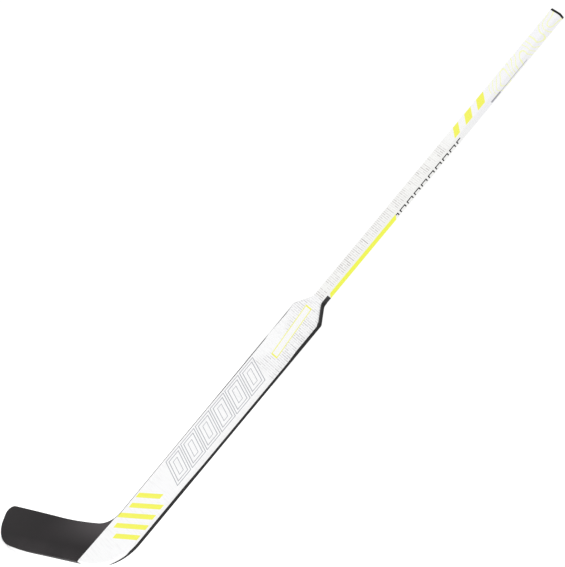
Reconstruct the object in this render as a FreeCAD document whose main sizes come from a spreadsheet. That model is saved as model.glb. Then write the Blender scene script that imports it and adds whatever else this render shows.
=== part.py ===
import FreeCAD, Part
import math
import os
import Sketcher

# Ice hockey goalie stick, in millimetres and degrees.
# +Z runs up the shaft to the butt, +X points to the heel edge of the paddle, and +Y to the front,
# the hollow side of the blade. The origin is on the shaft's axis where the shaft leaves the paddle.

DIMENSIONS = {
    # Shaft: a hollow laminate tube with a spigot that goes down into the paddle
    "shaft_width": 28.5,
    "shaft_thickness": 18.5,
    "shaft_corner_radius": 4,
    "shaft_wall": 1.8,
    "shaft_length": 734,
    "spigot_length": 110,
    "spigot_wall": 2,
    "spigot_corner_radius": 2.6,
    "bore_step": 8,
    # End cap: a moulded plug whose ribs grip the bore
    "cap_thickness": 5,
    "cap_edge_radius": 1.8,
    "cap_shank_length": 40,
    "cap_shank_wall": 2.2,
    "cap_shank_clearance": 0.6,
    "cap_rib_clearance": 0.05,
    "cap_rib_thickness": 1.6,
    "cap_rib_pitch": 8,
    "cap_rib_count": 4,
    # Paddle: two half shells with a black band between their edges
    "paddle_width": 81.5,
    "paddle_thickness": 18.5,
    "neck_drop": 8,
    "shoulder_length": 33,
    "shoulder_inner_radius": 14,
    "shoulder_outer_radius": 8,
    "heel_depth": 674.5,
    "heel_radius": 116.3,
    "edge_radius": 3,
    "edge_band_height": 8,
    "edge_band_shift": 2,
    # Laminate walls that the paddle and the blade share
    "skin_wall": 1.3,
    "edge_wall": 3.2,
    # Inside of the paddle
    "web_thickness": 1.5,
    "heel_block_height": 95,
    # Blade: the lie is the angle between the shaft and the sole, which rises to the toe past its rocker;
    # the top turns up at the brow and again at the throat
    "lie_angle": 116.3,
    "blade_length": 343.4,
    "blade_height": 81.8,
    "rocker_length": 88,
    "rocker_angle": 7,
    "rocker_radius": 550,
    "toe_lean": 4,
    "toe_lower_radius": 55.4,
    "toe_upper_radius": 20.4,
    "toe_flat": 2.5,
    "top_taper": 3,
    "brow_setback": 78.5,
    "brow_angle": 7.1,
    "brow_radius": 700,
    "throat_radius": 58.5,
    "blade_bevel": 2.2,
    "joint_setback": 2,
    "bend_setback": 6,
    "blend_length": 50,
    "blend_drop": 1.2,
    "toe_offset": 20,
    "toe_thickness": 9.6,
    # Spine of the blade and the tenon that holds it in the heel
    "spine_thickness": 2.5,
    "spine_root_length": 25,
    "tenon_length": 50,
    "tenon_height": 26,
    "tenon_thickness": 9,
    # How far every cutting body reaches past what it cuts
    "overrun": 12,
}

# A bevel takes at most this share of the toe's thickness
BEVEL_SHARE = 0.42

DERIVED = {
    "shaft_half_width": "shaft_width / 2",
    "shaft_half_thickness": "shaft_thickness / 2",
    "bore_half_width": "shaft_half_width - shaft_wall",
    "bore_half_thickness": "shaft_half_thickness - shaft_wall",
    "bore_corner_radius": "max(shaft_corner_radius - shaft_wall; shaft_wall / 2)",
    "spigot_half_width": "shaft_half_width - edge_wall",
    "spigot_half_thickness": "paddle_thickness / 2 - skin_wall",
    "spigot_bore_half_width": "spigot_half_width - spigot_wall",
    "spigot_bore_half_thickness": "spigot_half_thickness - spigot_wall",
    "spigot_bore_corner_radius": "spigot_corner_radius / 2",
    "shank_half_width": "bore_half_width - cap_shank_clearance",
    "shank_half_thickness": "bore_half_thickness - cap_shank_clearance",
    "shank_bore_half_width": "shank_half_width - cap_shank_wall",
    "shank_bore_half_thickness": "shank_half_thickness - cap_shank_wall",
    "shank_bore_corner_radius": "bore_corner_radius / 2",
    "rib_half_width": "bore_half_width - cap_rib_clearance",
    "rib_half_thickness": "bore_half_thickness - cap_rib_clearance",
    "paddle_half_width": "paddle_width / 2",
    "neck_corner_z": "-neck_drop",
    "shoulder_corner_z": "-neck_drop - shoulder_length",
    "heel_z": "-heel_depth",
    "blade_slope": "lie_angle - 90",
    "rocker_x": "paddle_half_width - (blade_length - rocker_length) * sin(lie_angle)",
    "rocker_z": "(blade_length - rocker_length) * cos(lie_angle) - heel_depth",
    "toe_low_x": "rocker_x - rocker_length * sin(lie_angle - rocker_angle)",
    "toe_low_z": "rocker_z + rocker_length * cos(lie_angle - rocker_angle)",
    "toe_top_x": "toe_low_x + blade_height * cos(lie_angle + toe_lean)",
    "toe_top_z": "toe_low_z + blade_height * sin(lie_angle + toe_lean)",
    "toe_upper_reach": "toe_upper_radius * tan((90 + toe_lean + top_taper) / 2)",
    "toe_room": "blade_height - toe_upper_reach - toe_flat",
    "toe_lower_turn": "90 - rocker_angle - toe_lean",
    "toe_curve_radius": "min(toe_lower_radius; toe_room / tan(toe_lower_turn / 2))",
    "rocker_room": "rocker_length - toe_curve_radius * tan(toe_lower_turn / 2) - toe_flat",
    "rocker_curve_radius": "min(rocker_radius; rocker_room / tan(rocker_angle / 2))",
    "brow_x": "-paddle_half_width - brow_setback",
    "brow_z": "toe_top_z + (toe_top_x - brow_x) / tan(lie_angle - top_taper)",
    "throat_angle": "lie_angle - top_taper + brow_angle",
    "throat_z": "brow_z - brow_setback / tan(throat_angle)",
    "throat_reach": "throat_radius * tan((180 - throat_angle) / 2)",
    "brow_room": "brow_setback / sin(throat_angle) - throat_reach - toe_flat",
    "brow_curve_radius": "min(brow_radius; brow_room / tan(brow_angle / 2))",
    "joint_x": "-paddle_half_width - joint_setback",
    "bend_x": "-paddle_half_width - bend_setback",
    "blend_x": "bend_x - blend_length",
    "toe_limit": "toe_top_x - overrun",
    "heel_limit": "paddle_half_width + overrun",
    "back_limit": "-paddle_thickness / 2 - overrun",
    "front_limit": "toe_offset + toe_thickness + overrun",
    "low_limit": "toe_low_z - overrun",
    "back_y": "-paddle_thickness / 2",
    "back_toe_y": "toe_offset - toe_thickness / 2",
    "front_y": "paddle_thickness / 2",
    "front_blend_y": "front_y - blend_drop",
    "front_toe_y": "toe_offset + toe_thickness / 2",
    "core_back_y": "back_y + skin_wall",
    "core_back_toe_y": "back_toe_y + skin_wall",
    "core_front_y": "front_y - skin_wall",
    "core_front_blend_y": "front_blend_y - skin_wall",
    "core_front_toe_y": "front_toe_y - skin_wall",
    "band_back_y": "edge_band_shift - edge_band_height / 2",
    "band_front_y": "edge_band_shift + edge_band_height / 2",
    "band_split_z": "throat_z - blade_height / 2",
    "heel_block_top": "heel_block_height - heel_depth",
    "web_outer_x": "spigot_half_width + web_thickness",
    "spine_z": "blade_height / 2",
    "spine_joint": "(spine_z * sin(blade_slope) - paddle_width - joint_setback) / cos(blade_slope)",
    "bevel": "min(blade_bevel; toe_thickness * %g)" % BEVEL_SHARE,
}

doc = FreeCAD.newDocument("goalie_stick")
dims = doc.addObject("Spreadsheet::Sheet", "dims")
for row, (alias, number) in enumerate(DIMENSIONS.items(), start=1):
    dims.set("A%d" % row, alias)
    dims.set("B%d" % row, str(number))
    dims.setAlias("B%d" % row, alias)
for row, (alias, formula) in enumerate(DERIVED.items(), start=1):
    dims.set("D%d" % row, alias)
    dims.set("E%d" % row, "=" + formula)
    dims.setAlias("E%d" % row, alias)
doc.recompute()


def size(name):
    """Number in the sheet under a name, which may start with a minus; 0 stands for itself."""
    if name == "0":
        return 0.0
    if name.startswith("-"):
        return -float(getattr(dims, name[1:]))
    return float(getattr(dims, name))


def cell(name):
    """Expression that reads the same number from the sheet."""
    if name == "0":
        return "0"
    if name.startswith("-"):
        return "-dims." + name[1:]
    return "dims." + name


def point(x, y):
    return FreeCAD.Vector(x, y, 0)


def left_of(direction):
    return point(-direction.y, direction.x)


def angle_of(vector):
    return math.atan2(vector.y, vector.x)


def add_arc(sketch, start, end, centre):
    """Arc from start to end about centre, the short way round, and its two end numbers in that order."""
    turns_left = left_of(start - centre).dot(end - centre) > 0
    first, last = (start, end) if turns_left else (end, start)
    begin = angle_of(first - centre)
    sweep = (angle_of(last - centre) - begin) % (2 * math.pi)
    circle = Part.Circle(centre, FreeCAD.Vector(0, 0, 1), (start - centre).Length)
    arc = sketch.addGeometry(Part.ArcOfCircle(circle, begin, begin + sweep), False)
    return (arc, 1, 2) if turns_left else (arc, 2, 1)


def bind(sketch, constraint, name):
    """Add a constraint whose value follows a cell of the sheet."""
    index = sketch.addConstraint(constraint)
    sketch.setExpression("Constraints[%d]" % index, cell(name))


def place_point(sketch, geometry, end, x, y):
    """Hold one point of a sketch at two named coordinates."""
    bind(sketch, Sketcher.Constraint("DistanceX", -1, 1, geometry, end, size(x)), x)
    bind(sketch, Sketcher.Constraint("DistanceY", -1, 1, geometry, end, size(y)), y)


def rounded_outline(sketch, corners):
    """Closed outline through named corners (x, y, radius); a corner with no radius stays sharp."""
    places = [point(size(x), size(y)) for x, y, radius in corners]
    count = len(corners)
    marks = [sketch.addGeometry(Part.Point(place), True) for place in places]
    arcs = []
    for i, (x, y, radius) in enumerate(corners):
        place_point(sketch, marks[i], 1, x, y)
        if radius is None:
            arcs.append((places[i], places[i], None))
            continue
        arriving = (places[i] - places[i - 1]).normalize()
        leaving = (places[(i + 1) % count] - places[i]).normalize()
        reach = size(radius) * math.tan(arriving.getAngle(leaving) / 2)
        start = places[i] - arriving * reach
        end = places[i] + leaving * reach
        side = math.copysign(size(radius), left_of(arriving).dot(leaving))
        arc = add_arc(sketch, start, end, start + left_of(arriving) * side)
        bind(sketch, Sketcher.Constraint("Radius", arc[0], size(radius)), radius)
        arcs.append((start, end, arc))
    for i in range(count):
        j = (i + 1) % count
        line = sketch.addGeometry(Part.LineSegment(arcs[i][1], arcs[j][0]), False)
        for corner, line_end, arc_end in ((i, 1, 2), (j, 2, 1)):
            arc = arcs[corner][2]
            if arc is None:
                sketch.addConstraint(Sketcher.Constraint("Coincident", line, line_end, marks[corner], 1))
            else:
                sketch.addConstraint(Sketcher.Constraint("PointOnObject", marks[corner], 1, line))
                sketch.addConstraint(Sketcher.Constraint("Tangent", line, line_end, arc[0], arc[arc_end]))


def add_run(sketch, first, steps):
    """Run of a line and tangent arcs through named points, from the heel side towards the toe."""
    here = point(size(first[0]), size(first[1]))
    heading = point(-1, 0)
    pieces = []
    for kind, x, y in steps:
        there = point(size(x), size(y))
        chord = there - here
        if kind == "line":
            piece = (sketch.addGeometry(Part.LineSegment(here, there), False), 1, 2)
        else:
            across = left_of(heading)
            radius = chord.dot(chord) / (2 * chord.dot(across))
            piece = add_arc(sketch, here, there, here + across * radius)
            turn = 2 * (angle_of(chord) - angle_of(heading))
            heading = FreeCAD.Rotation(FreeCAD.Vector(0, 0, 1), math.degrees(turn)).multVec(heading)
        if pieces:
            last = pieces[-1]
            sketch.addConstraint(Sketcher.Constraint("Tangent", last[0], last[2], piece[0], piece[1]))
        else:
            place_point(sketch, piece[0], piece[1], *first)
        place_point(sketch, piece[0], piece[2], x, y)
        pieces.append(piece)
        here = there
    return pieces[0], pieces[-1]


def back_run(prefix=""):
    """Back of the thickness: flat over the paddle, then one sweep to the toe."""
    start = ("heel_limit", prefix + "back_y")
    return start, [("line", "bend_x", prefix + "back_y"), ("arc", "toe_limit", prefix + "back_toe_y")]


def front_run(prefix=""):
    """Front of the thickness: flat, then in to the blade's thickness, then hollow out to the toe."""
    start = ("heel_limit", prefix + "front_y")
    return start, [
        ("line", "bend_x", prefix + "front_y"),
        ("arc", "blend_x", prefix + "front_blend_y"),
        ("arc", "toe_limit", prefix + "front_toe_y"),
    ]


def level_run(level):
    return ("heel_limit", level), [("line", "toe_limit", level)]


def free_sketch(name, turn=0):
    sketch = doc.addObject("Sketcher::SketchObject", name)
    sketch.Placement.Rotation = FreeCAD.Rotation(FreeCAD.Vector(1, 0, 0), turn)
    return sketch


def extrude(name, base, direction, forward, backward):
    solid = doc.addObject("Part::Extrusion", name)
    solid.Base = base
    solid.DirMode = "Custom"
    solid.Dir = direction
    solid.Solid = True
    solid.setExpression("LengthFwd", forward)
    solid.setExpression("LengthRev", backward)
    return solid


def thickness_zone(name, lower, upper):
    """Upright slab between two runs seen along the shaft."""
    sketch = free_sketch(name + "_sketch")
    low_first, low_last = add_run(sketch, *lower)
    high_first, high_last = add_run(sketch, *upper)
    for low, high, end in ((low_first, high_first, 1), (low_last, high_last, 2)):
        start = sketch.getPoint(low[0], low[end])
        finish = sketch.getPoint(high[0], high[end])
        line = sketch.addGeometry(Part.LineSegment(start, finish), False)
        sketch.addConstraint(Sketcher.Constraint("Coincident", line, 1, low[0], low[end]))
        sketch.addConstraint(Sketcher.Constraint("Coincident", line, 2, high[0], high[end]))
    return extrude(name, sketch, FreeCAD.Vector(0, 0, 1), "dims.overrun", "-dims.low_limit")


def zone(name, x, y, z):
    """Block between pairs of expressions along the three axes."""
    block = doc.addObject("Part::Box", name)
    for (low, high), side, axis in ((x, "Length", "x"), (y, "Width", "y"), (z, "Height", "z")):
        block.setExpression(side, "(%s) - (%s)" % (high, low))
        block.setExpression("Placement.Base." + axis, low)
    return block


def blade_zone(name, along, thick, across):
    """Block in the blade's own directions: along the sole from the heel point, and up across it."""
    block = doc.addObject("Part::Box", name)
    block.Placement.Rotation = FreeCAD.Rotation(FreeCAD.Vector(0, -1, 0), size("blade_slope"))
    block.setExpression("Placement.Rotation.Angle", "dims.blade_slope")
    for (low, high), side in ((along, "Length"), (thick, "Width"), (across, "Height")):
        block.setExpression(side, "(%s) - (%s)" % (high, low))
    slope = {"along": along[0], "across": across[0]}
    block.setExpression("Placement.Base.x", "dims.paddle_half_width + (%(along)s) * cos(dims.blade_slope)"
                        " - (%(across)s) * sin(dims.blade_slope)" % slope)
    block.setExpression("Placement.Base.y", thick[0])
    block.setExpression("Placement.Base.z", "dims.heel_z + (%(along)s) * sin(dims.blade_slope)"
                        " + (%(across)s) * cos(dims.blade_slope)" % slope)
    return block


def combine(kind, name, base, tool):
    result = doc.addObject("Part::" + kind, name)
    result.Base = base
    result.Tool = tool
    result.Refine = True
    return result


def body_sketch(body, name, height="0"):
    """Sketch on a body's own ground plane, raised to a named height."""
    sketch = body.newObject("Sketcher::SketchObject", name)
    ground = next(item for item in body.Origin.OriginFeatures if item.Role == "XY_Plane")
    sketch.AttachmentSupport = (ground, [""])
    sketch.MapMode = "FlatFace"
    sketch.setExpression("AttachmentOffset.Base.z", cell(height))
    return sketch


def section_sketch(body, name, half_width, half_thickness, radius, height="0"):
    """Rounded rectangle across the shaft."""
    sketch = body_sketch(body, name, height)
    rounded_outline(sketch, [
        (half_width, half_thickness, radius),
        ("-" + half_width, half_thickness, radius),
        ("-" + half_width, "-" + half_thickness, radius),
        (half_width, "-" + half_thickness, radius),
    ])
    return sketch


def add_feature(body, kind, name, sketch, length, downward):
    """Pad or pocket of a sketch over a named length."""
    feature = body.newObject("PartDesign::" + kind, name)
    feature.Profile = sketch
    feature.setExpression("Length", length)
    feature.Reversed = downward if kind == "Pad" else not downward
    return feature


# Shaft tube: the outer section, the narrower spigot below it, and a bore that steps down to the spigot's
shaft = doc.addObject("PartDesign::Body", "shaft_tube")
outer = section_sketch(shaft, "shaft_section", "shaft_half_width", "shaft_half_thickness",
                       "shaft_corner_radius")
add_feature(shaft, "Pad", "shaft_pad", outer, "dims.shaft_length", False)
spigot = section_sketch(shaft, "spigot_section", "spigot_half_width", "spigot_half_thickness",
                        "spigot_corner_radius")
add_feature(shaft, "Pad", "spigot_pad", spigot, "dims.spigot_length", True)
bore = section_sketch(shaft, "bore_section", "bore_half_width", "bore_half_thickness",
                      "bore_corner_radius", "shaft_length")
add_feature(shaft, "Pocket", "bore_pocket", bore, "dims.shaft_length - dims.bore_step", True)
spigot_bore = section_sketch(shaft, "spigot_bore_section", "spigot_bore_half_width",
                             "spigot_bore_half_thickness", "spigot_bore_corner_radius", "bore_step")
add_feature(shaft, "Pocket", "spigot_bore_pocket", spigot_bore,
            "dims.bore_step + dims.spigot_length + dims.overrun", True)

# End cap: a flange as wide as the shaft, and a hollow shank with grip ribs down the bore
cap = doc.addObject("PartDesign::Body", "end_cap")
cap.setExpression("Placement.Base.z", "dims.shaft_length")
shank = section_sketch(cap, "shank_section", "shank_half_width", "shank_half_thickness",
                       "bore_corner_radius")
add_feature(cap, "Pad", "shank_pad", shank, "dims.cap_shank_length", True)
flange = section_sketch(cap, "flange_section", "shaft_half_width", "shaft_half_thickness",
                        "shaft_corner_radius")
flange_pad = add_feature(cap, "Pad", "flange_pad", flange, "dims.cap_thickness", False)
doc.recompute()
crown_edges = ["Edge%d" % number for number, edge in enumerate(flange_pad.Shape.Edges, start=1)
               if abs(edge.BoundBox.ZMin - size("cap_thickness")) < Part.Precision.confusion()]
crown = cap.newObject("PartDesign::Fillet", "flange_rounding")
crown.Base = (flange_pad, crown_edges)
crown.setExpression("Radius", "dims.cap_edge_radius")
rib = section_sketch(cap, "rib_section", "rib_half_width", "rib_half_thickness", "bore_corner_radius")
rib.setExpression("AttachmentOffset.Base.z", "-dims.cap_rib_pitch")
rib_pad = add_feature(cap, "Pad", "rib_pad", rib, "dims.cap_rib_thickness", True)
ribs = cap.newObject("PartDesign::LinearPattern", "grip_ribs")
ribs.Originals = [rib_pad]
upright = next(item for item in cap.Origin.OriginFeatures if item.Role == "Z_Axis")
ribs.Direction = (upright, [""])
ribs.Reversed = True
ribs.setExpression("Length", "dims.cap_rib_pitch * (dims.cap_rib_count - 1)")
ribs.setExpression("Occurrences", "dims.cap_rib_count")
cap.Tip = ribs
hollow = section_sketch(cap, "shank_bore_section", "shank_bore_half_width", "shank_bore_half_thickness",
                        "shank_bore_corner_radius")
add_feature(cap, "Pocket", "shank_bore_pocket", hollow, "dims.cap_shank_length + dims.overrun", True)

# Outline of the paddle and blade together, seen from the front
outline = free_sketch("stick_outline", 90)
rounded_outline(outline, [
    ("shaft_half_width", "0", None),
    ("shaft_half_width", "neck_corner_z", "shoulder_inner_radius"),
    ("paddle_half_width", "shoulder_corner_z", "shoulder_outer_radius"),
    ("paddle_half_width", "heel_z", "heel_radius"),
    ("rocker_x", "rocker_z", "rocker_curve_radius"),
    ("toe_low_x", "toe_low_z", "toe_curve_radius"),
    ("toe_top_x", "toe_top_z", "toe_upper_radius"),
    ("brow_x", "brow_z", "brow_curve_radius"),
    ("-paddle_half_width", "throat_z", "throat_radius"),
    ("-paddle_half_width", "shoulder_corner_z", "shoulder_outer_radius"),
    ("-shaft_half_width", "neck_corner_z", "shoulder_inner_radius"),
    ("-shaft_half_width", "0", None),
])
core_outline = doc.addObject("Part::Offset2D", "core_outline")
core_outline.Source = outline
core_outline.Join = "Arc"
core_outline.setExpression("Value", "-dims.edge_wall")
FRONTWARD = FreeCAD.Vector(0, 1, 0)
outline_block = extrude("outline_block", outline, FRONTWARD, "dims.front_limit", "-dims.back_limit")
core_block = extrude("core_block", core_outline, FRONTWARD, "dims.front_limit", "-dims.back_limit")

# Thickness of the paddle and blade: the whole, the core between the skins, and what lies either side
whole_thickness = thickness_zone("whole_thickness", back_run(), front_run())
core_thickness = thickness_zone("core_thickness", back_run("core_"), front_run("core_"))
back_thickness = thickness_zone("back_thickness", level_run("back_limit"), back_run("core_"))
front_thickness = thickness_zone("front_thickness", front_run("core_"), level_run("front_limit"))

# The moulding is the outline at its thickness, parted at the joint between paddle and blade
Y_ALL = ("dims.back_limit", "dims.front_limit")
Z_ALL = ("dims.low_limit", "dims.overrun")
X_PADDLE = ("dims.joint_x", "dims.heel_limit")
X_BLADE = ("dims.toe_limit", "dims.joint_x")
Z_SPAR = ("dims.heel_block_top", "0")
blank = combine("Common", "blank", outline_block, whole_thickness)
core = combine("Common", "core", core_block, core_thickness)
paddle_side = zone("paddle_side", X_PADDLE, Y_ALL, Z_ALL)
blade_side = zone("blade_side", X_BLADE, Y_ALL, Z_ALL)
paddle_blank = combine("Common", "paddle_blank", blank, paddle_side)
blade_blank = combine("Common", "blade_blank", blank, blade_side)
doc.recompute()


def rim_edges(shape, width):
    """Edges between a broad face and an upright side, except at the neck and at the blade joint."""
    chosen = []
    for number, edge in enumerate(shape.Edges, start=1):
        middle = edge.valueAt((edge.FirstParameter + edge.LastParameter) / 2)
        if min(abs(middle.z), abs(middle.x - size("joint_x"))) < Part.Precision.confusion():
            continue
        tilts = []
        for face in shape.ancestorsOfType(edge, Part.Face):
            u, v = face.Surface.parameter(middle)
            tilts.append(abs(face.normalAt(u, v).y))
        if min(tilts) < math.sqrt(0.5) < max(tilts):
            chosen.append((number, width, width))
    return chosen


# Rounded edges on the paddle's half, bevelled ones on the blade's
paddle_moulding = doc.addObject("Part::Fillet", "paddle_moulding")
paddle_moulding.Base = paddle_blank
paddle_moulding.Edges = rim_edges(paddle_blank.Shape, size("edge_radius"))
blade_moulding = doc.addObject("Part::Chamfer", "blade_moulding")
blade_moulding.Base = blade_blank
blade_moulding.Edges = rim_edges(blade_blank.Shape, size("bevel"))

# Wall of the paddle, hollowed for the core and for the shaft's spigot
laminate = combine("Cut", "laminate", paddle_moulding, core)
spigot_room = zone("spigot_room", ("-dims.spigot_half_width", "dims.spigot_half_width"),
                   ("dims.core_back_y", "dims.core_front_y"), ("-dims.spigot_length", "dims.overrun"))
paddle_wall = combine("Cut", "paddle_wall", laminate, spigot_room)

# Paddle shells: trays whose lips stop at the edge band
back_side = zone("back_side", X_PADDLE, ("dims.back_limit", "dims.band_back_y"), Z_ALL)
front_side = zone("front_side", X_PADDLE, ("dims.band_front_y", "dims.front_limit"), Z_ALL)
back_shell = combine("Common", "paddle_back_shell", paddle_wall, back_side)
front_shell = combine("Common", "paddle_front_shell", paddle_wall, front_side)

# Edge bands: the strip between the lips, parted at the neck and at the blade joint
band_side = zone("band_side", X_PADDLE, ("dims.band_back_y", "dims.band_front_y"), Z_ALL)
band_ring = combine("Common", "band_ring", paddle_wall, band_side)
toe_side_edge = zone("toe_side_edge", ("dims.toe_limit", "0"), Y_ALL, ("dims.band_split_z", "dims.overrun"))
heel_band = combine("Cut", "heel_edge_band", band_ring, toe_side_edge)
toe_band = combine("Common", "toe_edge_band", band_ring, toe_side_edge)

# Inside of the paddle: two webs that hold the spigot, and foam between and outside them
toe_web_room = zone("toe_web_room", ("-dims.web_outer_x", "-dims.spigot_half_width"), Y_ALL, Z_SPAR)
heel_web_room = zone("heel_web_room", ("dims.spigot_half_width", "dims.web_outer_x"), Y_ALL, Z_SPAR)
centre_room = zone("centre_room", ("-dims.spigot_half_width", "dims.spigot_half_width"), Y_ALL,
                   ("dims.heel_block_top", "-dims.spigot_length"))
toe_foam_room = zone("toe_foam_room", ("dims.joint_x", "-dims.web_outer_x"), Y_ALL, Z_SPAR)
heel_foam_room = zone("heel_foam_room", ("dims.web_outer_x", "dims.heel_limit"), Y_ALL, Z_SPAR)
toe_web = combine("Common", "toe_side_web", core, toe_web_room)
heel_web = combine("Common", "heel_side_web", core, heel_web_room)
centre_foam = combine("Common", "centre_foam_core", core, centre_room)
toe_foam = combine("Common", "toe_side_foam_core", core, toe_foam_room)
heel_foam = combine("Common", "heel_side_foam_core", core, heel_foam_room)

# Spine of the blade: a rib along its middle, a root at the joint and a tenon on into the heel
SPINE_HALF = "dims.spine_thickness / 2"
TENON_HALF = "dims.tenon_height / 2"
rib_room = blade_zone("rib_room", ("-dims.blade_length - dims.overrun", "dims.spine_joint"), Y_ALL,
                      ("dims.spine_z - " + SPINE_HALF, "dims.spine_z + " + SPINE_HALF))
root_room = blade_zone("root_room", ("dims.spine_joint - dims.spine_root_length",
                                     "dims.spine_joint + dims.tenon_length"), Y_ALL,
                       ("dims.spine_z - " + TENON_HALF, "dims.spine_z + " + TENON_HALF))
spine_room = combine("Fuse", "spine_room", rib_room, root_room)
blade_core = combine("Common", "blade_core", core, blade_side)
tenon_room = zone("tenon_room", X_PADDLE, ("-dims.tenon_thickness / 2", "dims.tenon_thickness / 2"), Z_ALL)
tenon = combine("Common", "tenon", root_room, tenon_room)
spine_in_blade = combine("Common", "spine_in_blade", blade_core, spine_room)
spine = combine("Fuse", "blade_spine", spine_in_blade, tenon)

# Heel block: fills the heel below the foam, with the tenon's mortise in it
heel_room = zone("heel_room", X_PADDLE, Y_ALL, ("dims.low_limit", "dims.heel_block_top"))
heel_fill = combine("Common", "heel_fill", core, heel_room)
heel_block = combine("Cut", "heel_block", heel_fill, tenon)

# Blade foam above and below the spine
upper_room = blade_zone("upper_room", ("-dims.blade_length - dims.overrun", "0"), Y_ALL,
                        ("dims.spine_z", "dims.spine_z + dims.heel_depth"))
blade_foam = combine("Cut", "blade_foam", blade_core, spine_room)
upper_foam = combine("Common", "blade_upper_foam_core", blade_foam, upper_room)
lower_foam = combine("Cut", "blade_lower_foam_core", blade_foam, upper_room)

# Blade skins over the core, and the wrap that closes the edge round them
blade_field = combine("Common", "blade_field", blade_moulding, core_block)
back_skin = combine("Common", "blade_back_skin", blade_field, back_thickness)
front_skin = combine("Common", "blade_front_skin", blade_field, front_thickness)
edge_wrap = combine("Cut", "blade_edge_wrap", blade_moulding, core_block)

doc.recompute()
failed = [item.Name for item in doc.Objects if "Invalid" in item.State or "Error" in item.State]
if failed:
    raise RuntimeError("not built: " + ", ".join(failed))

sub_parts = [
    shaft, cap, back_shell, front_shell, heel_band, toe_band, toe_web, heel_web, centre_foam, toe_foam,
    heel_foam, heel_block, spine, upper_foam, lower_foam, back_skin, front_skin, edge_wrap,
]
for sub_part in sub_parts:
    shape = sub_part.Shape
    if shape.isNull() or not shape.isValid() or len(shape.Solids) != 1:
        raise RuntimeError("%s is not one sound solid" % sub_part.Label)
os.makedirs("parts", exist_ok=True)
for sub_part in sub_parts:
    sub_part.Shape.exportStep("parts/%s.step" % sub_part.Label)
    print("%-24s %10.1f mm3" % (sub_part.Label, sub_part.Shape.Volume))
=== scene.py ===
import cmath
import math
import bpy
import numpy as np
from mathutils import Matrix, Vector


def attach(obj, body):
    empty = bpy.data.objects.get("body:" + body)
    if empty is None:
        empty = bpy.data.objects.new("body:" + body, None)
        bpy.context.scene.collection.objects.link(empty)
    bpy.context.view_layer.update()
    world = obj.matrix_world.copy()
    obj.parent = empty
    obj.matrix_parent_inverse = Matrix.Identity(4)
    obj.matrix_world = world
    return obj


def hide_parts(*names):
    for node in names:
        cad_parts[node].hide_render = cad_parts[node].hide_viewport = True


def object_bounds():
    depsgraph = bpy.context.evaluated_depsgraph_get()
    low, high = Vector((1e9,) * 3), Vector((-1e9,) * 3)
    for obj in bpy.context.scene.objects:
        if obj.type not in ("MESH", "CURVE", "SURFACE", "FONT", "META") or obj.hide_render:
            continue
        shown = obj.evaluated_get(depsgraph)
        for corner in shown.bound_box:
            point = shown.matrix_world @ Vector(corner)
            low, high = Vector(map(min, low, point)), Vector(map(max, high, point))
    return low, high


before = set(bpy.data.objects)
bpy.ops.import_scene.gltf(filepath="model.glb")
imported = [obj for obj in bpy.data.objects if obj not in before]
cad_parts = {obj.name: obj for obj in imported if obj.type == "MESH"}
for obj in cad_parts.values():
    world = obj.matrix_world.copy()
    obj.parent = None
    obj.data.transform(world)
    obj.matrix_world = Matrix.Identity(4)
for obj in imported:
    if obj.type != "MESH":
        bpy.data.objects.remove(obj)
cad_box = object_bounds()

# Foam cores: three strips in the paddle and two in the blade, sawn from sheets of rigid closed-cell foam.
# They are bonded between the skins and keep them apart, so that thin laminate stands up to a shot.
MM = 0.001                      # one millimetre in metres
FOAM_CELL, FOAM_PIT = 2.6, 0.4  # mm, width and depth; real cells are 0.5 mm wide, drawn coarser to show


def linear(code):
    """sRGB hex colour as linear red, green, blue and alpha."""
    share = np.array([int(code[i:i + 2], 16) for i in (1, 3, 5)]) / 255
    light = np.where(share <= 0.04045, share / 12.92, ((share + 0.055) / 1.055) ** 2.4)
    return (*light.tolist(), 1.0)


def add_node(tree, kind, settings=(), links=()):
    """One shader node: settings go to its attributes or its inputs, links join outputs to its inputs."""
    node = tree.nodes.new("ShaderNode" + kind)
    for key, value in dict(settings).items():
        if isinstance(key, str) and hasattr(node, key):
            setattr(node, key, value)
        else:
            node.inputs[key].default_value = value
    for key, source in dict(links).items():
        tree.links.new(source, node.inputs[key])
    return node


def new_material(name):
    """Material with its tree, its surface shader, and the place on the part in millimetres."""
    material = bpy.data.materials.new(name)
    material.use_nodes = True
    tree = material.node_tree
    where = add_node(tree, "TexCoord").outputs["Object"]
    place = add_node(tree, "VectorMath", {"operation": "SCALE", "Scale": 1 / MM}, {0: where}).outputs[0]
    return material, tree, tree.nodes["Principled BSDF"], place


def surface(tree, shader, colour, roughness, bump, specular=0.5):
    """Link a material's colour, roughness and bump to its shader, and set how strongly it mirrors."""
    for socket, source in (("Base Color", colour), ("Roughness", roughness), ("Normal", bump)):
        tree.links.new(source, shader.inputs[socket])
    shader.inputs["Specular IOR Level"].default_value = specular


def dress(material, *names):
    """Give CAD nodes, whose shapes stay as they are, a finish of their own."""
    for name in names:
        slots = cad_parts[name].data.materials
        slots.clear()
        slots.append(material)


# Rigid PVC foam, sawn: a dry, matt, cream surface with open cells that catch the light
foam, tree, shader, place = new_material("rigid_pvc_foam_sawn")
cells = add_node(tree, "TexVoronoi", {"Scale": 1 / FOAM_CELL}, {"Vector": place}).outputs["Distance"]
cream = {"data_type": "RGBA", 6: linear("#E9DFBE"), 7: linear("#CDBE93")}
tint = add_node(tree, "Mix", cream, {0: cells}).outputs[2]
dull = add_node(tree, "MapRange", {"To Min": 0.8, "To Max": 0.95}, {"Value": cells}).outputs[0]
pits = add_node(tree, "Bump", {"Strength": 0.5, "Distance": FOAM_PIT * MM}, {"Height": cells}).outputs[0]
surface(tree, shader, tint, dull, pits, specular=0.2)
dress(foam, "centre_foam_core", "toe_side_foam_core", "heel_side_foam_core",
      "blade_upper_foam_core", "blade_lower_foam_core")

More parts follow.
